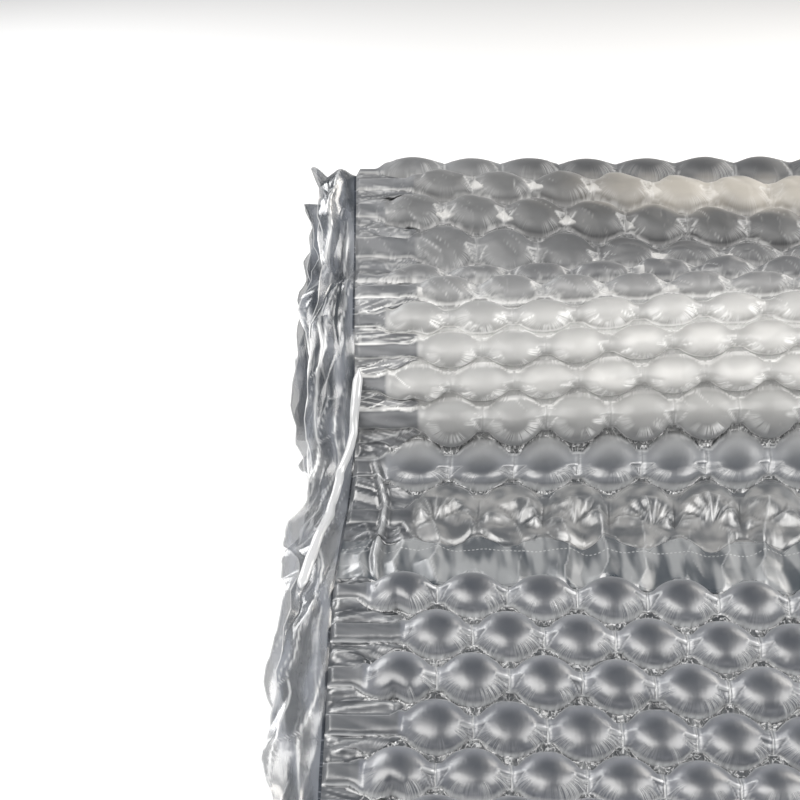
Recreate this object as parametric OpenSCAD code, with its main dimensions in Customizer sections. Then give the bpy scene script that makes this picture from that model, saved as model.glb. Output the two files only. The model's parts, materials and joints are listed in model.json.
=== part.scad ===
// Roll of inflated bubble film: chains of round air cushions in two welded plies,
// wound without a core, with its loose end paid out in front.

/* [Film] */
// Width between the side weld and the far edge of the film (mm)
film_w = 374; // [260:2:600]
// Width of the loose strip outside the side weld (mm)
flap_w = 30; // [10:1:50]
// Width of the air inlet strip between the side weld and the bubbles (mm)
inlet_w = 22; // [10:1:40]
// Width of the sealed edge on the far side (mm)
edge_w = 15; // [6:1:30]
// Thickness over a blown bubble (mm)
bubble_h = 25; // [12:0.5:40]
// Thickness over the weld between two rows (mm)
seal_h = 11; // [4:0.5:20]

/* [Roll] */
// Half of the roll's front to back size, to the middle of the outer turn (mm)
half_l = 131; // [90:1:200]
// Half of the roll's height, to the middle of the outer turn (mm)
half_h = 94; // [60:1:160]
// Distance from one turn to the next (mm)
turn_step = 24; // [14:0.5:40]
// Number of turns
turns = 3.2; // [2:0.1:4]
// Depth of the hollow pressed into the top (mm)
dip = 12; // [0:1:30]
// Height of the shoulder behind the hollow (mm)
shoulder = 23; // [0:1:30]

/* [Loose end] */
// Thickness of the row that has lost its air (mm)
slack_h = 12; // [6:0.5:20]
// Thickness of the unblown film, as modelled (mm)
flat_h = 4; // [2:0.5:6]

/* [Hidden] */
weld_x = -film_w / 2 + flap_w / 2;
far_x = weld_x + film_w;
cy = 167;
cz = 94;
start = 12;
step = 4;
// the loose end, along the middle of the film, from its cut edge up to the roll
lead = [[-297.1, 6], [-268, 12.5], [-234, 13], [-202, 23], [-170, 35], [-138, 46],
        [-106, 54.5], [-72, 58], [-38, 59.5], [-8, 62], [14, 74], [26, 94]];
// distance along the film against row number: the rows crowd on the front of the roll,
// and the unblown band and the slack row lie wider
rows = [[0, -1.3], [26, -0.5], [41, 0], [198, 5], [213, 5.5], [255, 6.5], [288, 7.1], [308, 7.5],
        [327, 8], [360, 9], [383, 10], [424, 12], [464, 14], [490, 15], [3490, 115]];

function bump(t, c, w) = exp(-pow((t - c) / w, 2));
function turn(t) = t - 360 * floor(t / 360);
// distance from the roll's centre to the film at angle t up from the front, before it winds
// inwards; the hollow in the top fades towards the middle
function reach(t) =
    pow(pow(abs(cos(t)) / half_l, 2.2) + pow(abs(sin(t)) / (sin(t) > 0 ? half_h : half_h + 7), 2.2), -1 / 2.2)
    - dip * max(0, 1 - t / 900) * bump(turn(t), 61, 14) + shoulder * bump(turn(t), 116, 26);
function wound(t) = let (r = reach(t) - turn_step * t / 360) [cy - r * cos(t), cz + r * sin(t)];

last = start + 360 * turns;
knots = concat(lead, [for (t = [start:step:last]) wound(t)]);
function mix(a, b, c, d, t) =
    0.5 * (2 * b + (c - a) * t + (2 * a - 5 * b + 4 * c - d) * t * t + (3 * b - a - 3 * c + d) * t * t * t);
function knot(i) = knots[min(max(i, 0), len(knots) - 1)];
function sub(i) = i < len(lead) ? 6 : 2;
path = [for (i = [0:len(knots) - 2]) for (k = [0:sub(i) - 1])
    mix(knot(i - 1), knot(i), knot(i + 1), knot(i + 2), k / sub(i))];
n = len(path);
along = [for (i = 0, s = 0; i < n; i = i + 1, s = s + (i < n ? norm(path[i] - path[i - 1]) : 0)) s];
function ahead(i) = let (d = path[min(i + 1, n - 1)] - path[max(i - 1, 0)]) d / norm(d);
function side(i) = let (d = ahead(i)) [-d[1], d[0]];

// full thickness at one sample: pillows with a weld between them
function crest(v) = v < -0.5 ? flat_h : v < 5.5 ? bubble_h : v < 6.5 ? flat_h : v < 7.5 ? slack_h : bubble_h;
function trough(v) = v < -0.4 ? flat_h : v > 5.4 && v < 6.6 ? flat_h : v > 6.6 && v < 7.6 ? 6 : seal_h;
function thick(i) = let (v = lookup(along[i], rows), c = crest(v), t = trough(v), f = v - floor(v + 0.5))
    t + (c - t) * pow(max(0, 1 - 4 * f * f), 0.6);

per_turn = round(360 / step) * 2;
first = 6 * len(lead);

function above(i, h) = path[i] + side(i) * h / 2;
function below(i, h) = path[i] - side(i) * h / 2;
// every third sample is enough for the thin strips
thin = [for (i = [0:3:n - 1]) i];
function ribbon(h) = concat([for (i = thin) above(i, h)], [for (j = [len(thin) - 1:-1:0]) below(thin[j], h)]);

module slab(x0, x1) {
    translate([x0, 0, 0]) rotate([90, 0, 90]) linear_extrude(height = x1 - x0) children();
}

// the outside of the outer turn, and the loose end on both its faces
module outline() {
    polygon(concat([for (i = [1:first + per_turn - 2]) above(i, thick(i))],
                   [for (i = [first - 2:-1:1]) below(i, thick(i))]));
}

module hollow_outline() {
    polygon([for (i = [n - per_turn:n - 1]) below(i, thick(i))]);
}

module film() {
    color([0.72, 0.75, 0.78, 0.75])
    difference() {
        union() {
            // rows of bubbles: the turns are one solid, and the loose end runs out of it
            difference() {
                slab(weld_x + inlet_w, far_x - edge_w) outline();
                slab(-film_w, film_w) hollow_outline();
            }
            // inlet strip, loose strip outside the weld, and the sealed far edge, wound with the rest
            slab(weld_x, weld_x + inlet_w + 2) polygon(ribbon(7));
            slab(weld_x - flap_w, weld_x + 2) polygon(ribbon(1.6));
            slab(far_x - edge_w - 2, far_x) polygon(ribbon(2.4));
        }
        // the flat spot it rests on
        translate([-film_w, -2 * film_w, -50]) cube([2 * film_w, 4 * film_w, 50]);
    }
}

film();
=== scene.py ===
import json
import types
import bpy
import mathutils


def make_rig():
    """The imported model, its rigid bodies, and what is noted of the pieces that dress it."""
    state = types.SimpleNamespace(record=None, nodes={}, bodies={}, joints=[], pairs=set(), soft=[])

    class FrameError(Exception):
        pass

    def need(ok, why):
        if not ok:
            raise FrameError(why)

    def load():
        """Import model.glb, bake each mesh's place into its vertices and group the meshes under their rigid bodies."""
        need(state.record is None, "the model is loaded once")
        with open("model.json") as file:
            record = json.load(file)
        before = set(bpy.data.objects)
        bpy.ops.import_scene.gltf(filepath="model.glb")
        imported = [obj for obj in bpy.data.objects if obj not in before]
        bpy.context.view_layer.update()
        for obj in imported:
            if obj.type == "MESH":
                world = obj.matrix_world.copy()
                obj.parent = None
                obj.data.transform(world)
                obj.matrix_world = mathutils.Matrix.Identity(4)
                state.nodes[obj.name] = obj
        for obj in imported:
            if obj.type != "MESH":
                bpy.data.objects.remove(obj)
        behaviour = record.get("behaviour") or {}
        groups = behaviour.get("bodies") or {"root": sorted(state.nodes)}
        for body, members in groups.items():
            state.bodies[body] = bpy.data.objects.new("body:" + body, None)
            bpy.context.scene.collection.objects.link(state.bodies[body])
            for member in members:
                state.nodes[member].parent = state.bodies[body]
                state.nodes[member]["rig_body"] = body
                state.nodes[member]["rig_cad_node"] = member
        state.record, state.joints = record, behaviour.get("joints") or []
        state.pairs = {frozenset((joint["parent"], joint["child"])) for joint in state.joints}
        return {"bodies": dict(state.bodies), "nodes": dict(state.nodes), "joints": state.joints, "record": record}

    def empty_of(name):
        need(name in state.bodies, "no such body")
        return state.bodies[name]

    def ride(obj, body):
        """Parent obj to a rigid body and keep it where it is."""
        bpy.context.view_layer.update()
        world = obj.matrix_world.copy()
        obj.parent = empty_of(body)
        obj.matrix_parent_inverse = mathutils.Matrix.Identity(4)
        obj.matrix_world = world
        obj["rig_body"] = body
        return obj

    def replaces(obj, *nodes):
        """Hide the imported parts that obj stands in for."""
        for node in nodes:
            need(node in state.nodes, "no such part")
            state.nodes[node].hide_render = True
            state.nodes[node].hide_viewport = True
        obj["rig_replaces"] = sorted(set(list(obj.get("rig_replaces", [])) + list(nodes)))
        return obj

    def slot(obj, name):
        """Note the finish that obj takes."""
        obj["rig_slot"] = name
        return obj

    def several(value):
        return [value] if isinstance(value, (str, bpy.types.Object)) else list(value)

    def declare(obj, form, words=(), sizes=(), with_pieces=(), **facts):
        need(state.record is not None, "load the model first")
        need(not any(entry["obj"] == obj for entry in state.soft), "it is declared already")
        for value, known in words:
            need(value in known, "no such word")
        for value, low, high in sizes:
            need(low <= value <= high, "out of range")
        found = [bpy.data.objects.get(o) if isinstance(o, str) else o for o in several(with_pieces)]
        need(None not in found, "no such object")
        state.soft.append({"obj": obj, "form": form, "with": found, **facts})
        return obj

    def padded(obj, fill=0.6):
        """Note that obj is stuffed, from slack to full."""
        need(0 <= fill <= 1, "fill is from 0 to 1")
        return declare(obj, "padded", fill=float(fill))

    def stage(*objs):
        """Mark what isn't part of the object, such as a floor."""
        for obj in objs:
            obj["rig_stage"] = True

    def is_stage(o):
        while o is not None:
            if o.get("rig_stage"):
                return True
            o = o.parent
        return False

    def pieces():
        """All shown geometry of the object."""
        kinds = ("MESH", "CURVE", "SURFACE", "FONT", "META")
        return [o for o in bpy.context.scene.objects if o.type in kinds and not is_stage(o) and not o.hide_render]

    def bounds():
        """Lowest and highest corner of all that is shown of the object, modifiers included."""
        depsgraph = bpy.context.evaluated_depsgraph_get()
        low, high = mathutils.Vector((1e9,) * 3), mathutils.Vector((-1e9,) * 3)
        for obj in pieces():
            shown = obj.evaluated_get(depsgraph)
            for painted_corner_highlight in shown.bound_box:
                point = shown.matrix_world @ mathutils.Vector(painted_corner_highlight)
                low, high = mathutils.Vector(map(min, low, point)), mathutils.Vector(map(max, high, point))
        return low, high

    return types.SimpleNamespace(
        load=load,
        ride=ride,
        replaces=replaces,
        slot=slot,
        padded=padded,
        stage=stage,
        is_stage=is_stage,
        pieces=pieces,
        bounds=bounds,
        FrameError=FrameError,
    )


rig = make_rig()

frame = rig.load()
import json
import math

import bpy
import numpy as np
from mathutils import Vector

size = {"start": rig.bounds()}

MM = 0.001
P = 40.0            # bubble pitch along a row
WELD, FAR = -172.0, 202.0
FIRST_A, FIRST_B = -132.0, -112.0

# ---------------------------------------------------------------- the film's path, as in the CAD part
HALF_L, HALF_H, STEP, TURNS, DIP, SHOULDER = 131.0, 94.0, 24.0, 3.2, 12.0, 23.0
CY, CZ, START = 167.0, 94.0, 12.0
LEAD = [[-297.1, 6], [-268, 12.5], [-234, 13], [-202, 23], [-170, 35], [-138, 46],
        [-106, 54.5], [-72, 58], [-38, 59.5], [-8, 62], [14, 74], [26, 94]]
ROWS = np.array([[0, -1.3], [26, -0.5], [41, 0], [198, 5], [213, 5.5], [255, 6.5], [288, 7.1], [308, 7.5],
                 [327, 8], [360, 9], [383, 10], [424, 12], [464, 14], [490, 15], [3490, 115]])


def wound(t):
    a = np.radians(t)
    c, s = np.cos(a), np.sin(a)
    tm = t % 360
    h = HALF_H if s > 0 else HALF_H + 7
    r = ((abs(c) / HALF_L) ** 2.2 + (abs(s) / h) ** 2.2) ** (-1 / 2.2)
    r += -DIP * max(0, 1 - t / 900) * np.exp(-((tm - 61) / 14) ** 2) + SHOULDER * np.exp(-((tm - 116) / 26) ** 2)
    r -= STEP * t / 360
    return [CY - r * c, CZ + r * s]


def make_path():
    knots = np.array(LEAD + [wound(t) for t in np.arange(START, START + 360 * TURNS + 1e-6, 4)])
    out = []
    n = len(knots)
    for i in range(n - 1):
        a, b, c, d = (knots[min(max(i + k, 0), n - 1)] for k in (-1, 0, 1, 2))
        m = 12 if i < len(LEAD) else 5
        for k in range(m):
            t = k / m
            out.append(0.5 * (2 * b + (c - a) * t + (2 * a - 5 * b + 4 * c - d) * t * t + (3 * b - a - 3 * c + d) * t ** 3))
    out.append(knots[-1])
    p = np.array(out)
    s = np.concatenate([[0], np.cumsum(np.linalg.norm(np.diff(p, axis=0), axis=1))])
    grid = np.arange(0, s[-1], 1.0)
    q = np.stack([np.interp(grid, s, p[:, 0]), np.interp(grid, s, p[:, 1])], 1)
    # a little smoothing, so that the film bends evenly
    ker = np.exp(-0.5 * (np.arange(-12, 13) / 5.0) ** 2)
    ker /= ker.sum()
    pad = np.vstack([2 * q[0] - q[12:0:-1], q, 2 * q[-1] - q[-2:-14:-1]])
    return grid, np.stack([np.convolve(pad[:, k], ker, "valid") for k in (0, 1)], 1)


PS, PATH = make_path()
TAN = np.gradient(PATH, axis=0)
TAN /= np.linalg.norm(TAN, axis=1)[:, None]
NOR = np.stack([-TAN[:, 1], TAN[:, 0]], 1)
TOTAL = PS[-1]


def at(s):
    s = np.clip(s, 0, TOTAL)
    y, z = np.interp(s, PS, PATH[:, 0]), np.interp(s, PS, PATH[:, 1])
    ny, nz = np.interp(s, PS, NOR[:, 0]), np.interp(s, PS, NOR[:, 1])
    k = np.hypot(ny, nz)
    return y, z, ny / k, nz / k


# ---------------------------------------------------------------- noise
def _h(ix, iy, seed):
    ix, iy = np.asarray(ix), np.asarray(iy)
    n = (ix.astype(np.int64) * 374761393 + iy.astype(np.int64) * 668265263 + seed * 1274126177) & 0xFFFFFFFF
    n = ((n ^ (n >> 13)) * 1103515245) & 0xFFFFFFFF
    n = ((n ^ (n >> 16)) * 2246822519) & 0xFFFFFFFF
    return ((n ^ (n >> 15)) & 0xFFFFFF) / float(0xFFFFFF)


def noise(x, y, seed=0):
    x, y = np.broadcast_arrays(np.asarray(x, float), np.asarray(y, float))
    ix, iy = np.floor(x), np.floor(y)
    fx, fy = x - ix, y - iy
    fx, fy = fx * fx * (3 - 2 * fx), fy * fy * (3 - 2 * fy)
    a, b = _h(ix, iy, seed), _h(ix + 1, iy, seed)
    c, d = _h(ix, iy + 1, seed), _h(ix + 1, iy + 1, seed)
    return (a + (b - a) * fx) + ((c + (d - c) * fx) - (a + (b - a) * fx)) * fy


def fbm(x, y, seed=0, octaves=3):
    v, a, t = 0.0, 1.0, 0.0
    for o in range(octaves):
        v = v + a * (noise(x * 2 ** o + 13.7 * o, y * 2 ** o + 5.1 * o, seed + o) * 2 - 1)
        t += a
        a *= 0.5
    return v / t


def ridge(x, y, seed=0):
    """Sharp creases: 1 on a crease, 0 between."""
    return 1 - np.abs(noise(x, y, seed) * 2 - 1)


def facet(x, y, seed=0):
    """Folded film: noise with flat facets and sharp edges, -1 to 1."""
    x, y = np.broadcast_arrays(np.asarray(x, float), np.asarray(y, float))
    ix, iy = np.floor(x), np.floor(y)
    fx, fy = x - ix, y - iy
    a, b = _h(ix, iy, seed), _h(ix + 1, iy, seed)
    c, d = _h(ix, iy + 1, seed), _h(ix + 1, iy + 1, seed)
    lower = fx + fy < 1
    v = np.where(lower, a + (b - a) * fx + (c - a) * fy, d + (c - d) * (1 - fx) + (b - d) * (1 - fy))
    return v * 2 - 1


def tri(u):
    """A folded line: 0 to 1 and back, once for each whole number."""
    u = u - np.floor(u)
    return 1 - np.abs(2 * u - 1)


def smooth(a, b, x):
    t = np.clip((x - a) / (b - a), 0, 1)
    return t * t * (3 - 2 * t)


# ---------------------------------------------------------------- rows and welds
def s_of(v):
    return np.interp(v, ROWS[:, 1], ROWS[:, 0])


def kind(r):
    """Which of the two nested rows this is: 0 starts its bubbles at FIRST_A, 1 at FIRST_B."""
    return (r + 1) % 2 if r <= 5 else r % 2


def first_of(r):
    return FIRST_A if kind(r) == 0 else FIRST_B


def drift(s):
    """The film wanders sideways a little between the loose end and the roll."""
    return np.interp(s, [0, 60, 200, 340, 560, 900], [-2, -1.5, 1.5, 12, 10, 6])


SKEW = np.array([[0, 0], [40, -.055], [72, -.075], [200, -.07], [255, -.03], [295, 0], [330, .03], [380, .05], [430, .05],
                 [460, .0], [490, -.12], [520, -.11], [560, -.06], [620, 0], [9999, 0]])


def skew(s, x):
    return np.interp(s, SKEW[:, 0], SKEW[:, 1]) * 110 * np.tanh((x + 7) / 110)


def neck_of(r):
    """Half the width and half the height of the necks in row r: they are fuller where the film is wound up tight."""
    return np.interp(r, [8, 9, 10, 15, 17, 30], [6.2, 7.4, 7.7, 8.0, 9.5, 8.5]), np.interp(r, [8, 9, 10, 15, 17, 20, 30],
                                                                                          [5.2, 5.6, 5.9, 6.6, 9.0, 9.2, 7.5])


def gourd(adx, neck):
    """Half the width of a row, at this distance from the nearest bubble's centre: a ball with necks."""
    ball = np.sqrt(np.clip(17.0 ** 2 - adx ** 2, 0, None))
    return (ball ** 4 + neck ** 4) ** 0.25


def wave(x, first, last, neck):
    """Which way the weld swings: out round a bubble, in beside a neck; fades past the row's ends."""
    adx = np.abs((x - first + P / 2) % P - P / 2)
    w = (gourd(adx, neck) - gourd(P / 2 - adx, neck)) / (gourd(0.0, neck) - gourd(P / 2, neck))
    return w * smooth(first - 24, first - 12, x) * (1 - smooth(last + 14, last + 20, x))


def pocket(x, first, last, neck):
    """Half the width of the flat weld between two nested rows."""
    adx = np.abs((x - first + P / 2) % P - P / 2)
    b = (30.0 - gourd(adx, neck) - gourd(P / 2 - adx, neck)) / 2
    return np.clip(b, 0.8, 4) + 1.2 * (1 - smooth(first - 24, first - 14, x)) + 1.2 * smooth(last + 12, last + 18, x)


def blown(r):
    """How full of air each row is."""
    return 0.0 if r < 0 or r == 6 else 0.42 if r == 7 else 1.0


def seam(k, x):
    """The weld between rows k and k + 1: its distance along the film at x."""
    own = k + 1 if k in (6, 7) or k < 0 else k                    # the row whose bubbles shape it
    sign = 1.0 if own == k else -1.0
    f = first_of(own)
    amp = 5.5 if k == 6 else np.clip((s_of(k + 1) - s_of(k)) / 30.0, 0.6, 1.0) * (8.55 - 0.5 * neck_of(k + 0.5)[0])
    return s_of(k + 0.5) + sign * amp * wave(x, f, f + 7 * P, neck_of(k + 0.5)[0])


def ply(r, f, x, side):
    """One ply of row r. f runs from -0.5 at the row's lower weld to 0.5 at its upper one, x is mm across the film, and
    side is +1 for the outer ply, -1 for the inner one. Gives the place along the film, the height of the middle
    surface, the ply's height over that, and where the point is in the row."""
    first = first_of(r)
    last = first + 7 * P
    lo, hi = seam(r - 1, x), seam(r, x)
    sc = s_of(r)
    s = np.where(f > 0, sc + 2 * f * (hi - sc), sc + 2 * f * (sc - lo))
    ds = s - sc
    v = r + f
    j = np.clip(np.floor((x - first) / P + 0.5), 0, 7)
    dx = x - (first + j * P)
    adx = np.abs(dx)
    one = _h(np.full_like(j, r + 100), j + 3, 11)
    two = _h(np.full_like(j, r + 300), j + 9, 12)
    row = float(_h(r + 50, 1, 55))
    air = blown(r)
    # outline of the pillow
    neck_w, neck_h = neck_of(r)
    bw = pocket(x, first, last, neck_w) * np.clip((hi - lo) / 30.0, 0.35, 1.0)
    half = np.where(f > 0, hi - sc, sc - lo)
    w = np.maximum(half - bw, 3.0)
    inlet = smooth(first - 27, first - 18, x)              # 0 in the inlet strip, 1 in the row
    w_in = (6.4 + 0.5 * noise(x / 9, r, 3)) * np.clip((hi - lo) / 30.0, 0.6, 1.0)
    w = w_in + (w - w_in) * inlet
    ball = np.interp(r, [15, 17, 19, 22], [12.4, 11.3, 11.3, 12.4]) * np.sqrt(np.clip(1 - (adx / 18.4) ** 2, 0, 1))
    neck = neck_h + 0.8 * (two - 0.5)
    H = (ball ** 3 + neck ** 3) ** (1 / 3)
    H = np.where(x < first, 4.6 + (H - 4.6) * inlet, H)
    closing = np.sqrt(np.clip(1 - ((x - last) / 17.5) ** 2, 0, 1))      # the last bubble closes at its far side
    H = np.where(x > last, 12.3 * closing, H)
    w = np.where(x > last, np.maximum(np.minimum(w, 17.0 * closing), 0.01), w)
    q = np.abs(ds) / w
    q = np.where(x > last + 17.0, 1.5, q)
    qc = np.clip(q, 0, 1)
    full = air * (0.94 + 0.10 * one) * float(np.interp(r, [11, 13, 16.5, 18], [1, 0.86, 0.86, 1]))
    if r == 7:
        H = H * (0.55 + 1.0 * noise(x / 31, 4.2, 5))
    power = 2 + 2.5 * (1 - inlet)
    h = full * H * np.sqrt(np.clip(1 - qc ** power, 0, 1))
    # ---- pleats run in from the rim, most at the lower side
    rho = np.maximum(np.hypot(dx / 18.0, ds / 16.5), 1e-3)
    ux, uy = dx / 18.0 / rho, ds / 16.5 / rho
    sides = np.clip(np.abs(ux) * 1.5 - 0.25, 0.12, 1.0)
    toward = np.clip(0.30 + 0.80 * -uy + 0.35 * ux, 0.06, 1.15) * sides
    smooth_h = h
    rim = smooth(0.52, 0.95, rho) * (1 - smooth(1.02, 1.25, rho))
    a = ridge(ux * 2.6 + 17 * one + 5, uy * 2.6 + 31 * two + 5, 21) ** 3
    b = ridge(ux * 7.5 + 27 * two + 9, uy * 7.5 + 41 * one + 9, 22) ** 4
    calm = float(np.interp(r, [7, 8, 12, 13, 17, 18], [1, 0.45, 0.5, 0.15, 0.1, 0.2]))
    vee = float(np.interp(r, [7, 8, 9, 10, 12, 13], [1, 0.6, 0.35, 0.12, 0.2, 0.55]))
    some = smooth(0.40, 0.60, noise(ux * 1.7 + 11 * one, uy * 1.7 + 13 * two, 34))
    pl = rim * toward * (0.55 * a + 0.32 * b) * calm * (0.12 + 0.88 * some)
    # gathered strokes at the lower rims of the rows that are wound up
    c0 = float(np.interp(r, [8, 9, 12, 13], [0.60, 0.38, 0.38, 0.60]))
    comb = smooth(c0, c0 + 0.14, rho) * (1 - smooth(c0 + 0.38, c0 + 0.52, rho)) * np.clip(0.1 - 1.1 * uy, 0, 1) * some
    comb = comb * ridge(ux * 4.6 + 37 * one + 3, uy * 4.6 + 23 * two + 3, 33) ** 2.2
    pl = pl + comb * float(np.interp(r, [8, 9, 10, 12, 13, 17, 18], [0.25, 0.8, 1.2, 1.1, 0.3, 0.2, 0]))
    row_x = smooth(first - 18, first - 14, x) * (x < last + 6)
    nk = smooth(12.5, 17.0, adx) * row_x
    pl = pl + nk * 0.35 * calm * (0.2 + 0.8 * vee) * ridge(ds / 2.4 + 30 * one, x / 17, 23) ** 2
    # ---- the film folds to a V below each neck
    for sx, much in ((1.0, 0.75 + 0.6 * one), (-1.0, 0.5 * two)):
        e = sx * dx - (12.2 + 1.8 * (two - 0.5))
        t = e * 0.83 + (ds - 0.6) * 0.556
        pl = pl + 2.1 * vee * much * smooth(0.0, 0.8, t) * (1 - smooth(2.0, 7.5, t)) * smooth(1.6, -0.6, ds) * (e > -6) * row_x
    ridge_up = 0.9 * np.exp(-((ds - 0.8) / 1.5) ** 2) * smooth(10.5, 13.5, adx) * row_x * np.where(dx > 0, 1.0, 0.5)
    crease = np.exp(-((P / 2 - adx) / 0.8) ** 2) * row_x * (x < last)
    loose = float(np.interp(r, [11, 12, 13, 17, 18], [0, 0.6, 1, 1, 0]))      # the rows in the hollow on top are less full
    hump = float(np.interp(r, [8, 9, 11, 13], [0, 1, 1, 0]))
    dent = hump * (1.1 * fbm(x / 23 + 7.7 * r, ds / 12, 27, 2) + 0.8 * facet(x / 17 + 0.4 * facet(s / 15, x / 24, 29), ds / 15 + 3.3 * r, 30)) + (0.45 + 1.6 * loose) * fbm(x / 15, s / 13, 25, 2) + loose * 1.5 * facet(x / 10.5 + 0.3 * facet(s / 13, x / 21, 28), s / 9.5, 26)
    live = np.sqrt(np.clip(1 - qc ** 6, 0, 1)) * np.minimum(1, h / 2.5)
    h = h - live * full * (pl + (0.1 + 0.9 * vee) * crease - dent - (0.1 + 0.9 * vee) * ridge_up)
    soft = np.clip(1 - qc, 0, 1) ** 0.4 if r == 7 else 0.0 * x
    if r == 7:
        # folds fan out from a gathered point near the lower edge of each pocket
        ox, oz = 13 * (one - 0.5), -12.5 + 2 * (two - 0.5)
        turn = np.arctan2(dx - ox, ds - oz)
        away = np.hypot(dx - ox, ds - oz)
        out = smooth(0.0, 12.0, away) * (1 - smooth(21.0, 31.0, away)) * (1 - smooth(1.1, 1.7, np.abs(turn)))
        star = out * (0.15 + 0.9 * tri(0.75 * turn + 0.2 * facet(away / 14, turn * 2, 35) + 3.7 * one)) + 0.30 * two * out * tri(3.2 * turn + 5.1 * two)
        h = h + np.minimum(1, 1.7 * soft) * smooth(21.0, 14.0, adx) * 6.0 * star * (1.0 if side > 0 else 0.25)
        h = h + soft * 1.2 * facet(x / 13.5 + 0.3 * facet(s / 14, x / 30, 31), s / 19, 32)
    h = np.maximum(h, 0.12)
    # ---- the middle surface: crinkled welds, folded slack film, and slow waves
    band = smooth(0.93, 1.08, q)
    busy = (0.25 if r in (6, 7) or 9 <= r <= 12 else 1.0 if r <= 8 else 0.6) * smooth(first - 30, first - 12, x)
    d = band * busy * (1.6 * facet(x / 3.6 + 0.4 * facet(s / 6, x / 9, 40), s / 12.0, 41) + 0.25 * facet(x / 2.4, s / 4.5, 42) - 0.6)
    strip = (1 - smooth(first - 30, first - 15, x)) * smooth(WELD, WELD + 4, x)
    g = np.where(f > 0, r, r - 1)
    k1 = (_h(g + 60, g * 0 + 2, 56) - 0.5) * 1.1
    k2 = (_h(g + 60, g * 0 + 5, 57) - 0.5) * 0.8
    xx = x - WELD
    fan = 2.6 * (tri((s + k1 * xx) / 13.0 + 0.25 * facet(x / 23, s / 40, 58)) - 0.5) + 0.8 * (tri((s + k2 * xx) / 6.1) - 0.5) \
        + 1.5 * facet(x / 24, s / 9.5, 43)
    d = d + strip * smooth(0.9, 1.25, q) * fan * (0.3 if r == 6 else 0.6 if r == 7 else 1.0)
    d = d + strip * (1 - smooth(0.8, 1.2, q)) * 0.5 * facet(x / 14, s / 6.0, 44)
    d = d + smooth(last + 12, last + 19, x) * 1.2 * facet(x / 6.0, s / 8.0, 45)
    flat = np.where(v < -0.5, smooth(-0.5, -0.62, v), 0) + smooth(5.46, 5.6, v) * (1 - smooth(6.7, 6.95, v))
    bend = 0.2 * facet(s / 21, x / 50, 46)
    fold = 4.0 * (tri(x / 24.0 + bend + 0.35 * noise(x / 40, 3, 47)) ** 1.5 - 0.35) * noise(x / 30, s / 60, 62) * 1.6 \
        + 2.0 * facet(x / 14.5 + bend, s / 44, 48) + 0.3 * facet(x / 6.6, s / 30, 49)
    d = d + flat * fold * np.where(v < -0.5, 0.5, 1.0)
    d = d + soft * 4.2 * facet(x / 22.0 + 0.4 * facet(s / 15, x / 20, 51), s / 26, 52)
    # a doubled fold stands up across the inlet strip beside the slack row
    if 5 <= r <= 8:
        mid = np.interp(s, [210, 235, 290, 320, 345], [-148, -151, -149, -156, -163])
        up = smooth(206, 226, s) * (1 - smooth(318, 345, s))
        d = d + 5.5 * up * np.exp(-((x - mid) / 2.3) ** 2) * (1.0 if side > 0 else 0.8)
        h = h * (1 - 0.9 * up * np.exp(-((x - mid) / 5) ** 2)) + 0.1
    folded = d + h - smooth_h
    # the row at the foot of the roll is pushed up from below
    d = d + np.interp(s, [282, 308, 343, 366], [0, 5.5, -5.0, 0])
    d = d + 1.0 * fbm(x / 95, s / 70, 54, 2) + (row - 0.5) * 1.6 * (1 - smooth(0.6, 1.0, np.abs(2 * f)))
    return s, d, h, ds, q, folded


def creases(f, a, b):
    """How sharply a height f is folded, outwards and inwards, 0 to 1. a and b are the distances along its two axes."""
    out = np.zeros_like(f)
    for ax, u in ((0, a), (1, b)):
        F, U = np.moveaxis(f, ax, 0), np.moveaxis(u, ax, 0)
        g = np.diff(F, axis=0) / np.maximum(np.abs(np.diff(U, axis=0)), 0.25)
        lap = np.zeros_like(F)
        lap[1:-1] = np.diff(g, axis=0) / np.maximum(0.5 * np.abs(U[2:] - U[:-2]), 0.4)
        out += np.moveaxis(lap, 0, ax)
    return np.clip((-out - 0.16) / 0.5, 0, 1), np.clip((out - 0.16) / 0.5, 0, 1)


def place(x, s, off, lean=0.0, always=0.0):
    """From film coordinates to the frame: x mm across, s mm along, off mm out of the middle surface. lean lets a blown
    row sag down the slope, and always tips it towards the loose end wherever it lies."""
    X = x + drift(s)
    ss = np.clip(s + skew(s, X), 0, TOTAL)
    tz = np.interp(ss, PS, TAN[:, 1])
    ss = np.clip(ss - lean * tz - always, 0, TOTAL)
    y, z, ny, nz = at(ss)
    # the hollow on top is deeper at the weld side and fills towards the far edge
    k = np.exp(-((ss - 484) / 26) ** 2)
    off = off + k * (5.5 * np.tanh((X - 10) / 60) - 1.5)
    # past the ends of the path the film goes on straight
    over = (s + skew(s, X)) - np.clip(s + skew(s, X), 0, TOTAL)
    ty, tz = nz, -ny
    Y = y + ny * off + ty * over
    Z = z + nz * off + tz * over
    floor = 0.5 + 0.25 * noise(x / 6, s / 6, 61)
    Z = np.where(Z < floor + 1.2, floor + 1.2 * np.exp((Z - floor - 1.2) / 1.2 * 0.9), Z)
    return np.stack([X, Y, Z], -1)


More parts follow.
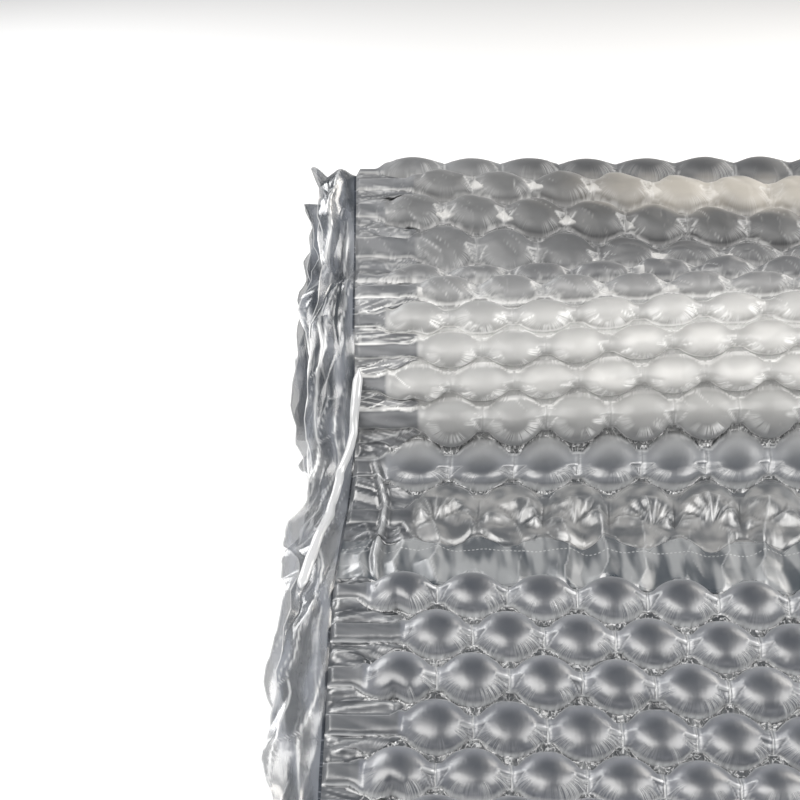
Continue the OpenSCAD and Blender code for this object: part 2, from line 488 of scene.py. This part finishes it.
# ---------------------------------------------------------------- meshes
def mesh_from(name, parts):
    """parts: list of (points [n, m, 3], film uv, zone uv, fold uv, flip). Grids of quads, joined into one object."""
    co, quads, uvs, zones, folds, base = [], [], [], [], [], 0
    for pts, uv, zone, fold, flip in parts:
        n, m = pts.shape[:2]
        co.append(pts.reshape(-1, 3) * MM)
        uvs.append(uv.reshape(-1, 2))
        zones.append(zone.reshape(-1, 2))
        folds.append(fold.reshape(-1, 2))
        idx = np.arange(n * m).reshape(n, m) + base
        a, b, c, d = idx[:-1, :-1], idx[1:, :-1], idx[1:, 1:], idx[:-1, 1:]
        q = np.stack([a, b, c, d] if flip else [a, d, c, b], -1).reshape(-1, 4)
        quads.append(q)
        base += n * m
    co, quads, uvs, zones, folds = (np.concatenate(k) for k in (co, quads, uvs, zones, folds))
    me = bpy.data.meshes.new(name)
    me.vertices.add(len(co))
    me.vertices.foreach_set("co", co.astype(np.float32).ravel())
    me.loops.add(len(quads) * 4)
    me.loops.foreach_set("vertex_index", quads.astype(np.int32).ravel())
    me.polygons.add(len(quads))
    me.polygons.foreach_set("loop_start", (np.arange(len(quads)) * 4).astype(np.int32))
    me.polygons.foreach_set("use_smooth", np.ones(len(quads), dtype=bool))
    for lay_name, data in (("film", uvs), ("zone", zones), ("fold", folds)):
        lay = me.uv_layers.new(name=lay_name)
        lay.data.foreach_set("uv", data[quads.ravel()].astype(np.float32).ravel())
    me.update(calc_edges=True)
    me.validate()
    ob = bpy.data.objects.new(name, me)
    bpy.context.scene.collection.objects.link(ob)
    return ob


def row_lines(n):
    """Row coordinates across one row, closer together near the welds."""
    f = np.linspace(-1, 1, n + 1)
    return 0.5 * np.sign(f) * (1 - (1 - np.abs(f)) ** 1.25)


def x_lines(fine, coarse, split=116.0):
    a = np.linspace(WELD, split, int(round((split - WELD) / fine)) + 1)
    b = np.linspace(split, FAR, int(round((FAR - split) / coarse)) + 1)
    return np.concatenate([a, b[1:]])


def grid_of(r, fs, xs, side):
    f, x = np.meshgrid(fs, xs, indexing="ij")
    s, d, h, ds, q, folded = ply(r, f, x, side)
    edge = smooth(WELD, WELD + 2.5, x) * smooth(FAR, FAR - 2.5, x)
    up = side * h * edge
    pts = place(x, s, d * (0.3 + 0.7 * edge) + up + side * 0.1, 0.38 * up if side > 0 else 0.0, 0.2 * up if side > 0 and 0 <= r <= 5 else 0.0)
    uv = np.stack([(x - first_of(r)) / 100.0, ds / 100.0], -1)
    zone = np.stack([np.minimum(q, 2.0) / 10.0, np.full_like(q, (r + 2) / 200.0)], -1)
    fold = np.stack(creases(folded * side, s, x), -1)
    return pts, uv, zone, fold, side > 0


def rows_piece(name, i0, i1, fine, coarse, n_top, step_bot, n_bot):
    parts = []
    for r in range(i0, i1 + 1):
        parts.append(grid_of(r, row_lines(n_top), x_lines(fine, coarse), 1))
        parts.append(grid_of(r, row_lines(n_bot), x_lines(step_bot, step_bot), -1))
    return mesh_from(name, parts)


last_row = int(np.floor(np.interp(TOTAL, ROWS[:, 0], ROWS[:, 1]) - 0.5))
pieces = []
pieces.append(rows_piece("film_loose_end", -1, 5, 0.95, 1.5, 26, 2.6, 10))
pieces.append(rows_piece("film_bend", 6, 10, 0.9, 1.5, 32, 2.6, 10))
pieces.append(rows_piece("film_front", 11, 17, 1.0, 1.5, 22, 3.0, 8))
pieces.append(rows_piece("film_top", 18, 21, 1.3, 1.6, 18, 3.0, 8))
pieces.append(rows_piece("film_back", 22, 30, 1.9, 1.9, 14, 3.0, 8))
pieces.append(rows_piece("film_under", 31, 37, 2.4, 2.4, 10, 3.2, 8))
pieces.append(rows_piece("film_turn_2", 38, 52, 3.2, 3.2, 8, 3.2, 8))
pieces.append(rows_piece("film_turn_3", 53, last_row, 3.2, 3.2, 8, 3.2, 8))


def flap_piece(name, s0, s1, step, nt, ribbon):
    """The loose strip outside the side weld: two plies, thrown into long folds."""
    parts = []
    ss = np.linspace(s0, s1, int(round((s1 - s0) / step)) + 1)
    s, t = np.meshgrid(ss, np.linspace(0, 1, nt), indexing="ij")
    deep = smooth(560, 700, s)
    for side in (1, -1):
        wide = 21 + 14 * noise(s / 43, side, 71) + 2.6 * facet(s / 15, 2.0 + side, 72)
        start = np.minimum(1, t * 2.2)
        x = WELD - wide * t + 2.2 * start * facet(s / 24, t * 1.9, 83 + side)
        lift = t * (3.0 + 7.0 * noise(s / 41, side * 3 + 5, 73)) * side
        slant = s + 16 * t * (noise(s / 60, 2.0, 84) * 2 - 1)
        crump = start * (5.6 * facet(slant / 52 + 0.4 * t, t * 2.6, 76 + side) + 1.6 * facet(slant / 27, t * 4.1, 78 + side)
                         + 0.5 * facet(slant / 8, t * 1.6, 82 + side) * (1 - t))
        off = lift * (1 - 0.5 * deep) + crump * (1 - 0.45 * deep) + side * 0.12
        pts = place(x, s + 2.0 * t * facet(s / 18, side, 80), off)
        uv = np.stack([x / 100.0, s / 3000.0], -1)
        zone = np.stack([np.full_like(x, 0.3), t], -1)
        parts.append((pts, uv, zone, np.stack(creases(crump * side * 1.7, s, wide * t), -1), side < 0))
    if ribbon:
        # a narrow doubled fold that runs along the strip
        ss = np.linspace(196, 392, 150)
        s, u = np.meshgrid(ss, np.linspace(-1, 1, 9), indexing="ij")
        mid = np.interp(s, [196, 225, 255, 290, 320, 350, 392], [-191, -187, -183.5, -181, -179.5, -172.5, -169.5])
        mid = mid + 0.8 * facet(s / 13, 3.0, 90)
        wide = (2.5 + 0.9 * noise(s / 22, 1.0, 91)) * smooth(194, 204, s) * smooth(394, 384, s)
        rise = 3.5 + 5.5 * smooth(200, 250, s) + 1.2 * facet(s / 17, 1.0, 92)
        for side in (1, -1):
            off = rise + side * (0.25 + 1.7 * np.sqrt(np.clip(1 - u * u, 0, 1)) * (1.0 if side > 0 else 0.4)) + 0.5 * u * facet(s / 9, 4, 93)
            pts = place(mid + wide * u, s, off)
            parts.append((pts, np.stack([(mid + wide * u) / 100.0, s / 3000.0], -1),
                          np.stack([np.full_like(s, 0.5), 0.5 + 0 * s], -1), np.zeros(s.shape + (2,)), side < 0))
    return mesh_from(name, parts)


flaps = [flap_piece("flap_loose_end", 0, 620, 1.2, 26, True), flap_piece("flap_roll", 620, TOTAL - 1, 2.4, 12, False)]


# ---------------------------------------------------------------- material
class Nodes:
    def __init__(self, name):
        self.mat = bpy.data.materials.new(name)
        self.mat.use_nodes = True
        self.tree = self.mat.node_tree
        self.tree.nodes.clear()

    def new(self, kind, **props):
        n = self.tree.nodes.new(kind)
        for k, v in props.items():
            setattr(n, k, v)
        return n

    def put(self, socket, value):
        if hasattr(value, "is_output"):
            self.tree.links.new(value, socket)
        else:
            socket.default_value = value

    def math(self, op, a, b=None, c=None):
        n = self.new("ShaderNodeMath", operation=op)
        for k, val in enumerate((a, b, c)):
            if val is not None:
                self.put(n.inputs[k], val)
        return n.outputs[0]

    def add(self, *v):
        out = v[0]
        for w in v[1:]:
            out = self.math("ADD", out, w)
        return out

    def mul(self, *v):
        out = v[0]
        for w in v[1:]:
            out = self.math("MULTIPLY", out, w)
        return out

    def step(self, a, b, x):
        """Smoothly from 0 at a to 1 at b."""
        n = self.new("ShaderNodeMapRange", interpolation_type="SMOOTHSTEP")
        self.put(n.inputs["Value"], x)
        lo, hi = (a, b) if a < b else (b, a)
        self.put(n.inputs["From Min"], lo)
        self.put(n.inputs["From Max"], hi)
        return n.outputs[0] if a < b else self.math("SUBTRACT", 1.0, n.outputs[0])

    def xyz(self, x, y, z=0.0):
        n = self.new("ShaderNodeCombineXYZ")
        for k, v in enumerate((x, y, z)):
            self.put(n.inputs[k], v)
        return n.outputs[0]

    def noise(self, vec, detail=1.0, rough=0.5):
        n = self.new("ShaderNodeTexNoise")
        self.put(n.inputs["Vector"], vec)
        n.inputs["Scale"].default_value = 1.0
        n.inputs["Detail"].default_value = detail
        n.inputs["Roughness"].default_value = rough
        return n.outputs["Fac"]

    def line(self, n, width):
        """Thin lines where a noise crosses its middle: 1 on the line."""
        return self.math("MAXIMUM", self.math("SUBTRACT", 1.0, self.mul(self.math("ABSOLUTE", self.math("SUBTRACT", n, 0.5)), 1 / width)), 0.0)

    def mix(self, fac, a, b):
        n = self.new("ShaderNodeMix", data_type="RGBA")
        self.put(n.inputs[0], fac)
        self.put(n.inputs[6], a)
        self.put(n.inputs[7], b)
        return n.outputs[2]

    def ramp(self, fac, stops):
        """Colours at row numbers; fac is (row + 2) / 26."""
        n = self.new("ShaderNodeValToRGB")
        self.put(n.inputs[0], fac)
        el = n.color_ramp.elements
        for k, (r, c) in enumerate(stops):
            e = el[k] if k < 2 else el.new((r + 2) / 26)
            e.position = (r + 2) / 26
            e.color = (*c, 1)
        return n.outputs[0]

    def uv(self, name):
        u = self.new("ShaderNodeUVMap", uv_map=name)
        s = self.new("ShaderNodeSeparateXYZ")
        self.tree.links.new(u.outputs[0], s.inputs[0])
        return s.outputs[0], s.outputs[1]


def bubble_material():
    g = Nodes("bubble_film")
    u, v = g.uv("film")
    z, w = g.uv("zone")
    x, ds = g.mul(u, 100.0), g.mul(v, 100.0)
    q, row = g.mul(z, 10.0), g.add(g.mul(w, 200.0), -2.0)
    col = g.math("FLOOR", g.math("DIVIDE", g.add(x, 20.0), 40.0))
    dx = g.math("SUBTRACT", x, g.mul(col, 40.0))
    cell = g.add(g.mul(col, 7.31), g.mul(row, 3.77))
    adx = g.math("ABSOLUTE", dx)
    ex, ey = g.mul(dx, 1 / 18.0), g.mul(ds, 1 / 16.5)
    rho = g.math("MAXIMUM", g.math("SQRT", g.add(g.mul(ex, ex), g.mul(ey, ey))), 0.01)
    ux, uy = g.math("DIVIDE", ex, rho), g.math("DIVIDE", ey, rho)
    cell_noise = g.noise(g.xyz(g.mul(col, 3.1), g.mul(row, 2.3), 77.0), 0.0)
    in_row = g.mul(g.step(-21.0, -19.0, x), g.step(297.0, 294.0, x))
    inside = g.step(1.03, 0.97, q)
    weld = g.step(0.98, 1.05, q)
    # the unblown band and the slack row have no bubbles to pleat
    slack = g.mul(g.step(5.5, 5.6, row), g.step(7.5, 7.4, row))
    band = g.mul(g.step(5.5, 5.6, row), g.step(6.5, 6.4, row))
    firm = g.math("SUBTRACT", 1.0, slack)
    s_like = g.add(g.mul(row, 30.0), ds)

    # pleats run in from the rim
    n9 = g.noise(g.xyz(g.mul(ux, 7.0), g.mul(uy, 7.0), g.add(cell, g.mul(rho, 0.4))), 0.0)
    n16 = g.noise(g.xyz(g.mul(ux, 18.0), g.mul(uy, 18.0), g.add(cell, g.mul(rho, 0.6))), 0.0)
    some = g.step(0.40, 0.52, g.noise(g.xyz(g.mul(ux, 1.6), g.mul(uy, 1.6), g.add(cell, 3.0)), 0.0))
    sides = g.step(0.1, 0.6, g.math("ABSOLUTE", ux))
    toward = g.mul(g.math("MAXIMUM", g.add(0.3, g.mul(uy, -0.8), g.mul(ux, 0.25)), 0.03), g.add(0.15, g.mul(sides, 0.85)))
    length = g.step(0.66, 1.02, g.add(rho, g.mul(g.math("SUBTRACT", n9, 0.5), 0.5)))
    vrow = g.add(row, g.mul(ds, 1 / 30.0))
    plain = g.math("SUBTRACT", 1.0, g.mul(g.step(7.4, 7.6, row), g.step(12.6, 12.4, row), 0.75))
    plain = g.mul(plain, g.math("SUBTRACT", 1.0, g.mul(g.step(12.4, 13.0, vrow), g.step(18.4, 18.0, vrow), 0.8)), g.math("SUBTRACT", 1.0, g.mul(g.step(17.3, 17.8, vrow), 0.8)))
    rays = g.mul(g.line(n9, 0.05), length, inside, in_row, firm, toward, plain, g.add(0.08, g.mul(some, 0.92)))
    hump = g.mul(g.step(8.5, 8.6, row), g.step(12.6, 12.5, row))
    comb_zone = g.mul(g.step(0.58, 0.80, g.add(rho, g.mul(hump, 0.2))), g.step(1.25, 1.05, g.add(rho, g.mul(hump, 0.3))), inside, in_row, firm, g.step(0.1, -0.25, uy), some, g.add(0.35, g.mul(g.step(-0.5, 0.3, ux), 0.65)),
                      g.math("MAXIMUM", hump, g.add(0.2, g.mul(sides, 0.8))))
    n12 = g.noise(g.xyz(g.mul(ux, 11.0), g.mul(uy, 11.0), g.add(cell, g.mul(rho, 0.6))), 0.0)
    bold = g.mul(hump, g.math("MINIMUM", g.mul(g.line(n12, 0.22), 1.5), 1.0))
    comb = g.mul(g.math("MAXIMUM", g.line(n16, 0.16), bold), comb_zone, g.math("SUBTRACT", 1.0, g.mul(g.step(12.6, 13.0, vrow), 0.7)))
    # the crease across each neck
    neck = g.mul(g.step(19.2, 19.8, g.add(adx, g.mul(g.math("SUBTRACT", g.noise(g.xyz(g.mul(ds, 0.16), cell), 0.0), 0.5), 1.6))),
                 g.step(0.98, 0.85, q), g.step(-18.0, -15.0, x), in_row, firm, plain, g.math("SUBTRACT", 1.0, hump))
    # painted highlight along the fold in each neck
    painted_neck_highlight = g.mul(g.step(12.0, 14.0, dx), g.step(20.0, 19.0, dx), g.step(1.3, 0.5, g.math("ABSOLUTE", g.add(ds, g.mul(g.math("SUBTRACT", cell_noise, 0.5), 6.0)))),
                   in_row, firm, plain)
    # painted highlights: bright corners beside the necks of the rows on top
    tip = g.add(adx, g.mul(ds, -0.9), g.mul(g.math("SUBTRACT", cell_noise, 0.5), 12.0),
                g.mul(g.math("SUBTRACT", g.noise(g.xyz(g.mul(x, 0.3), g.mul(s_like, 0.3), 61.0), 1.0), 0.5), 5.0))
    painted_corner_highlight = g.mul(g.step(19.5, 20.8, tip), g.step(13.0, 14.0, adx), g.step(-8.0, -6.0, ds), g.step(0.98, 0.9, q), g.step(2.5, 1.0, ds), in_row, g.step(12.2, 12.8, vrow), g.step(17.6, 17.2, vrow),
                   g.step(0.46, 0.60, g.noise(g.xyz(g.mul(x, 0.05), g.mul(s_like, 0.05), 31.0), 0.0)))
    # welds: crinkled across
    nw = g.noise(g.xyz(g.mul(x, 0.30), g.mul(s_like, 0.16), row), 1.0)
    crinkle = g.mul(g.line(nw, 0.05), weld, in_row, firm, g.math("SUBTRACT", 1.0, g.mul(g.step(8.6, 9.2, vrow), 0.85)))
    # inlet strip and unblown band: long folds
    strip = g.step(-19.0, -22.0, x)
    ridge_line, groove = g.uv("fold")
    crumpled = g.mul(slack, g.math("SUBTRACT", 1.0, band))
    not_band = g.math("SUBTRACT", 1.0, band)
    between = g.mul(strip, g.step(0.9, 1.2, q), not_band)
    tube_edge = g.mul(strip, g.step(0.80, 0.92, q), g.step(1.04, 0.97, q))
    # the dotted perforation in the unblown band
    dots = g.mul(band, g.step(0.65, 0.25, g.math("ABSOLUTE", g.math("SUBTRACT", ds, g.add(7.0, g.mul(g.noise(g.xyz(g.mul(x, 0.025), 1.0), 0.0), 8.0))))),
                 g.step(0.3, 0.6, g.math("PINGPONG", g.mul(x, 0.8), 1.0)), 0.6)
    fine = g.noise(g.xyz(g.mul(x, 0.35), g.mul(s_like, 0.12), row), 2.0)
    on_top = g.mul(g.step(12.4, 13.0, vrow), g.step(18.4, 18.0, vrow))
    # painted highlights on the pleats, the combed strokes and the outward creases
    lines = g.math("MAXIMUM", g.math("MAXIMUM", rays, comb), g.mul(ridge_line, g.add(0.55, g.mul(weld, in_row, firm, -0.3), g.mul(on_top, -0.2))))

    height = g.add(g.mul(rays, 0.16), g.mul(comb, 0.34), g.mul(neck, 0.4), g.mul(crinkle, 0.5), g.mul(dots, -0.3), g.mul(fine, 0.12))
    bump = g.new("ShaderNodeBump")
    bump.inputs["Strength"].default_value = 0.85
    bump.inputs["Distance"].default_value = 0.001
    g.put(bump.inputs["Height"], height)

    # colour, with painted light and shade along the film: dark where one layer of film lies on the table, painted pale
    # and cream where light comes through the many layers behind it, and painted dark along the crest rows
    along = g.math("DIVIDE", g.add(row, g.mul(ds, 1 / 30.0), 2.0), 26.0)
    core = g.ramp(along, [(-1, (.042, .048, .060)), (7.6, (.042, .048, .060)), (8.1, (.083, .090, .102)), (9.0, (.24, .24, .235)), (10.0, (.53, .525, .512)),
                          (11.6, (.55, .545, .53)), (12.5, (.24, .24, .24)), (13.4, (.05, .053, .06)), (15.4, (.022, .024, .027)),
                          (16.4, (.022, .022, .021)), (17.1, (.02, .02, .019)), (17.7, (.006, .008, .012)), (19.5, (.03, .034, .04)),
                          (22.0, (.13, .138, .15))])
    pale = g.ramp(along, [(-1, (.124, .133, .160)), (8.1, (.18, .19, .21)), (9.0, (.32, .32, .315)), (10.0, (.32, .318, .312)),
                          (11.6, (.32, .318, .312)), (12.5, (.26, .26, .26)), (13.4, (.07, .074, .083)), (15.4, (.032, .034, .038)),
                          (16.4, (.030, .029, .028)), (17.1, (.028, .027, .026)), (17.7, (.014, .017, .022)), (19.5, (.08, .088, .1)),
                          (22.0, (.36, .37, .39))])
    # painted shade: the darker colour of the welds between the pillows, also used for the layers seen behind the pale
    # rows
    dark = g.ramp(along, [(-1, (.045, .050, .056)), (8.1, (.045, .050, .056)), (9.4, (.30, .30, .295)), (11.6, (.44, .44, .43)),
                          (13.2, (.06, .064, .07)), (17.0, (.035, .037, .04)), (22.0, (.045, .048, .052))])
    cloudy = g.math("SUBTRACT", g.noise(g.xyz(g.mul(x, 0.03), g.mul(s_like, 0.05), 51.0), 1.0), 0.5)
    wound_up = g.step(8.3, 9.3, g.add(row, g.mul(ds, 1 / 30.0)))
    # the wound-up rows are greyer towards their left end, with less of the painted pale light
    rest = g.math("MULTIPLY", wound_up, g.step(-10.0, -95.0, g.add(x, -122.0)))
    core = g.mix(g.mul(rest, 0.5), core, (0.13, 0.135, 0.14, 1))
    pale = g.mix(g.mul(rest, 0.35), pale, (0.30, 0.31, 0.32, 1))
    # painted reflection: a cream band across the crest rows towards the right
    painted_cream_reflection = g.mul(g.step(16.1, 16.8, g.add(vrow, g.mul(cloudy, 0.9))), g.step(17.6, 17.2, vrow), g.step(-60.0, 50.0, g.add(x, -122.0)), 0.75)
    core = g.mix(painted_cream_reflection, core, (0.30, 0.28, 0.25, 1))
    pale = g.mix(painted_cream_reflection, pale, (0.34, 0.32, 0.29, 1))
    cloud = g.noise(g.xyz(g.mul(x, 0.045), g.mul(s_like, 0.045), 2.0), 2.0)
    # painted sheen and shade: each pillow is lighter towards its rim, less so at its lower side, and darker in its core
    painted_rim_sheen = g.step(0.30, 1.05, g.add(g.math("MAXIMUM", q, g.math("MINIMUM", rho, 1.0)), g.mul(g.step(0.0, -1.0, uy), firm, -0.22), g.mul(g.math("SUBTRACT", cloud, 0.5), 0.35)))
    base = g.mix(painted_rim_sheen, core, pale)
    # painted shade: the layers behind show through the pale rows as soft grey shapes
    behind = g.mul(g.step(8.6, 9.6, vrow), g.step(17.6, 17.0, vrow), g.step(0.44, 0.62, g.noise(g.xyz(g.mul(g.add(x, g.mul(s_like, 0.5)), 0.035),
                                                                            g.mul(g.add(s_like, g.mul(x, -0.2)), 0.075), 41.0), 2.0)))
    base = g.mix(g.mul(behind, 0.5), base, dark)
    # painted shade: the welds between the pillows take the darker colour
    base = g.mix(weld, base, dark)
    up_down = g.step(0.40, 0.62, g.noise(g.xyz(g.mul(g.add(x, g.mul(ds, 0.1)), 0.11), g.mul(s_like, 0.022), 21.0), 1.0))
    across = g.step(0.38, 0.64, g.noise(g.xyz(g.mul(x, 0.028), g.mul(g.add(s_like, g.mul(x, 0.2)), 0.14), 22.0), 1.0))
    patch = g.step(0.38, 0.64, g.noise(g.xyz(g.mul(x, 0.07), g.mul(s_like, 0.07), 23.0), 1.0))
    base = g.mix(band, base, g.mix(up_down, (0.042, 0.052, 0.064, 1), (0.25, 0.26, 0.27, 1)))
    base = g.mix(crumpled, base, g.mix(patch, (0.08, 0.086, 0.094, 1), (0.24, 0.24, 0.24, 1)))
    base = g.mix(between, base, g.mix(across, (0.045, 0.05, 0.058, 1), (0.12, 0.126, 0.138, 1)))
    base = g.mix(g.mul(strip, not_band, g.step(0.95, 0.8, q)), base, g.mix(across, (0.05, 0.056, 0.065, 1), (0.105, 0.11, 0.12, 1)))
    sealed = g.step(294.0, 298.0, x)
    base = g.mix(sealed, base, g.mix(across, (0.17, 0.18, 0.195, 1), (0.34, 0.35, 0.365, 1)))
    # painted highlight: a bright line along each pillow's rim, stronger at its lower side
    rim = g.mul(g.step(0.90, 0.98, q), g.step(1.05, 1.0, q), g.math("SUBTRACT", 1.0, sealed), g.add(0.25, g.mul(g.step(2.0, -2.0, ds), 0.6)), firm)
    base = g.mix(rim, base, g.ramp(along, [(-1, (.42, .43, .44)), (8.1, (.42, .43, .44)), (9.5, (.85, .85, .84)), (12.0, (.85, .85, .84)),
                                           (14.0, (.20, .20, .205)), (17.2, (.18, .18, .18)), (18.0, (.05, .055, .06))]))
    # painted shade in the inward creases of the rows that are not wound up
    base = g.mix(g.mul(groove, 0.55, g.math("SUBTRACT", 1.0, wound_up)), base, (0.03, 0.033, 0.038, 1))
    # painted highlight: the inward creases of the wound-up rows turn bright
    base = g.mix(g.mul(groove, 0.8, wound_up, g.math("SUBTRACT", 1.0, g.mul(g.step(12.3, 13.0, vrow), 0.5)), g.step(20.0, 18.5, adx),
                       g.step(18.0, 17.6, vrow)), base, (0.88, 0.88, 0.87, 1))
    base = g.mix(g.mul(painted_corner_highlight, 0.55), base, (0.72, 0.71, 0.69, 1))
    # painted reflection, brighter, along the same band
    base = g.mix(g.mul(painted_cream_reflection, 0.8), base, (0.42, 0.385, 0.33, 1))
    # light that gets in through the layers keeps the inner turns pale
    base = g.mix(g.mul(g.step(31.0, 36.0, row), 0.6), base, (0.62, 0.63, 0.65, 1))
    # painted highlights on those pleats and creases, the weld crinkles, the neck creases, the neck folds and the tube
    # edges, together with the film's own perforation dots
    painted_glints_and_dots = g.math("MINIMUM", g.add(g.mul(lines, 0.8), g.mul(crinkle, 0.8), g.mul(neck, 0.5), g.mul(painted_neck_highlight, 0.55), g.mul(dots, 0.9), g.mul(tube_edge, 0.2)), 1.0)
    base = g.mix(painted_glints_and_dots, base, g.ramp(along, [(-1, (.62, .63, .64)), (8.1, (.62, .63, .64)), (9.5, (.92, .92, .91)), (22.0, (.75, .75, .76))]))
    rough = g.add(0.33, g.mul(g.noise(g.xyz(g.mul(x, 0.12), g.mul(s_like, 0.12), 5.0), 3.0), 0.14), g.mul(weld, -0.10), g.mul(strip, 0.05),
                  g.mul(slack, -0.04), g.mul(wound_up, 0.18), g.mul(hump, 0.08), g.mul(g.step(12.4, 13.4, vrow), 0.12),
                  g.mul(g.step(18.0, 19.2, vrow), -0.34))

    # the rows along the back crest and the inlet strip shine less
    dull = g.math("MINIMUM", g.add(g.mul(g.step(14.0, 15.5, vrow), g.step(20.0, 18.8, vrow), g.add(0.60, g.mul(g.step(17.3, 17.9, vrow), 0.35))), g.mul(strip, 0.4)), 1.0)
    shine = g.math("SUBTRACT", 1.0, dull)
    bs = g.new("ShaderNodeBsdfPrincipled")
    g.put(bs.inputs["Base Color"], base)
    g.put(bs.inputs["Coat Weight"], g.mul(shine, 0.35))
    g.put(bs.inputs["Roughness"], g.math("MAXIMUM", rough, 0.14))
    g.put(bs.inputs["Normal"], bump.outputs[0])
    bs.inputs["IOR"].default_value = 1.75
    bs.inputs["Specular IOR Level"].default_value = 1.0
    bs.inputs["Coat Roughness"].default_value = 0.3
    bs.inputs["Sheen Weight"].default_value = 0.2
    bs.inputs["Sheen Roughness"].default_value = 0.35
    out = g.new("ShaderNodeOutputMaterial")
    g.put(out.inputs[0], bs.outputs[0])
    return g.mat


def flap_material():
    g = Nodes("flap_film")
    u, v = g.uv("film")
    z, t = g.uv("zone")
    x, s = g.mul(u, 100.0), g.mul(v, 3000.0)
    tube = g.step(0.38, 0.42, z)
    ridge_line, groove = g.uv("fold")
    fine = g.noise(g.xyz(g.mul(x, 0.25), g.mul(s, 0.08), 3.0), 2.0)
    bump = g.new("ShaderNodeBump")
    bump.inputs["Strength"].default_value = 0.8
    bump.inputs["Distance"].default_value = 0.001
    g.put(bump.inputs["Height"], g.mul(fine, 0.2))
    wide = g.step(0.35, 0.65, g.noise(g.xyz(g.mul(g.add(x, g.mul(s, 0.1)), 0.10), g.mul(s, 0.022), 8.0), 1.0))
    lines = g.mul(ridge_line, 0.65)
    base = g.mix(wide, (0.042, 0.05, 0.062, 1), (0.20, 0.215, 0.245, 1))
    # painted shade in the inward creases
    base = g.mix(g.mul(groove, 0.5), base, (0.05, 0.055, 0.06, 1))
    # painted highlights on the outward creases
    base = g.mix(lines, base, (0.80, 0.81, 0.82, 1))
    edge = g.step(0.965, 0.99, t)
    # the dark stitched line beside the side weld
    stitch = g.mul(g.step(0.055, 0.04, t), g.step(0.2, 0.5, g.noise(g.xyz(g.mul(s, 0.55), 2.0), 1.0)), g.step(0.38, 0.34, z))
    base = g.mix(g.mul(stitch, 0.9), base, (0.02, 0.025, 0.035, 1))
    base = g.mix(g.math("MAXIMUM", g.mul(edge, 0.7), g.mul(tube, 0.75)), base, (0.72, 0.73, 0.74, 1))
    bs = g.new("ShaderNodeBsdfPrincipled")
    g.put(bs.inputs["Base Color"], base)
    g.put(bs.inputs["Roughness"], g.add(0.15, g.mul(fine, 0.16)))
    g.put(bs.inputs["Normal"], bump.outputs[0])
    g.put(bs.inputs["Alpha"], g.math("MINIMUM", g.add(0.68, g.mul(wide, 0.12), g.mul(lines, 0.2), g.mul(tube, 0.35), g.mul(edge, 0.3), g.mul(stitch, 0.5)), 1.0))
    bs.inputs["IOR"].default_value = 1.9
    bs.inputs["Specular IOR Level"].default_value = 0.8
    bs.inputs["Coat Weight"].default_value = 0.4
    bs.inputs["Coat Roughness"].default_value = 0.1
    out = g.new("ShaderNodeOutputMaterial")
    g.put(out.inputs[0], bs.outputs[0])
    return g.mat


mat, mat_flap = bubble_material(), flap_material()
for o in pieces:
    o.data.materials.append(mat)
for o in flaps:
    o.data.materials.append(mat_flap)

for o in pieces + flaps:
    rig.ride(o, "root")
    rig.replaces(o, "film")
    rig.slot(o, "film")
for o in pieces:
    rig.padded(o, fill=0.85)
for o in flaps:
    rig.padded(o, fill=0.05)

# ---------------------------------------------------------------- stage, light, camera
fl = bpy.data.meshes.new("floor")
fl.from_pydata([(-4, -3, 0), (4, -3, 0), (4, 5, 0), (-4, 5, 0)], [], [(0, 1, 2, 3)])
floor = bpy.data.objects.new("floor", fl)
bpy.context.scene.collection.objects.link(floor)
fm = bpy.data.materials.new("floor")
fm.use_nodes = True
fb = fm.node_tree.nodes["Principled BSDF"]
fb.inputs["Base Color"].default_value = (0.87, 0.87, 0.87, 1)
fb.inputs["Roughness"].default_value = 0.9
fb.inputs["Emission Color"].default_value = (1, 1, 1, 1)
fb.inputs["Emission Strength"].default_value = 0.20
fl.materials.append(fm)
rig.stage(floor)

world = bpy.data.worlds.new("studio")
bpy.context.scene.world = world
world.use_nodes = True
world.node_tree.nodes["Background"].inputs[0].default_value = (0.80, 0.84, 0.90, 1)
world.node_tree.nodes["Background"].inputs[1].default_value = 0.10


def area(name, loc, aim, sx, sy, power, color=(1, 1, 1)):
    d = bpy.data.lights.new(name, "AREA")
    d.shape = "RECTANGLE"
    d.size, d.size_y = sx, sy
    d.energy = power
    d.color = color
    o = bpy.data.objects.new(name, d)
    bpy.context.scene.collection.objects.link(o)
    o.location = loc
    o.rotation_euler = (Vector(aim) - Vector(loc)).to_track_quat("-Z", "Y").to_euler()
    return o


area("left", (-0.85, -0.58, 1.08), (0, -0.05, 0.08), 1.4, 1.1, 24, (1, 0.985, 0.96))
area("right", (1.05, -0.42, 0.98), (0, -0.05, 0.08), 1.4, 1.1, 21.5, (1, 0.985, 0.96))
area("back_left", (-0.95, 1.05, 0.75), (0, -0.05, 0.08), 0.8, 0.6, 9.5)
area("back_right", (0.95, 1.05, 0.75), (0, -0.05, 0.08), 0.8, 0.6, 9, (1, 0.96, 0.90))
bpy.context.scene.view_settings.view_transform = "Standard"

cam = bpy.data.cameras.new("camera")
cam.sensor_width = 36
cam.lens = 1908 / 800 * 36
cam.clip_start = 0.01
co = bpy.data.objects.new("camera", cam)
bpy.context.scene.collection.objects.link(co)
co.location = (-0.132, -1.040, 0.638)
co.rotation_euler = (math.radians(90 - 26), 0, 0)
bpy.context.scene.camera = co

size["end"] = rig.bounds()
json.dump(size, open("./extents.json", "w"), default=lambda o: [list(p) if hasattr(p, "__iter__") else p for p in o])
tri_count = sum(len(p.vertices) - 2 for o in pieces + flaps for p in o.data.polygons)
print("TRIS", tri_count, [(o.name, sum(len(p.vertices) - 2 for p in o.data.polygons)) for o in pieces + flaps])
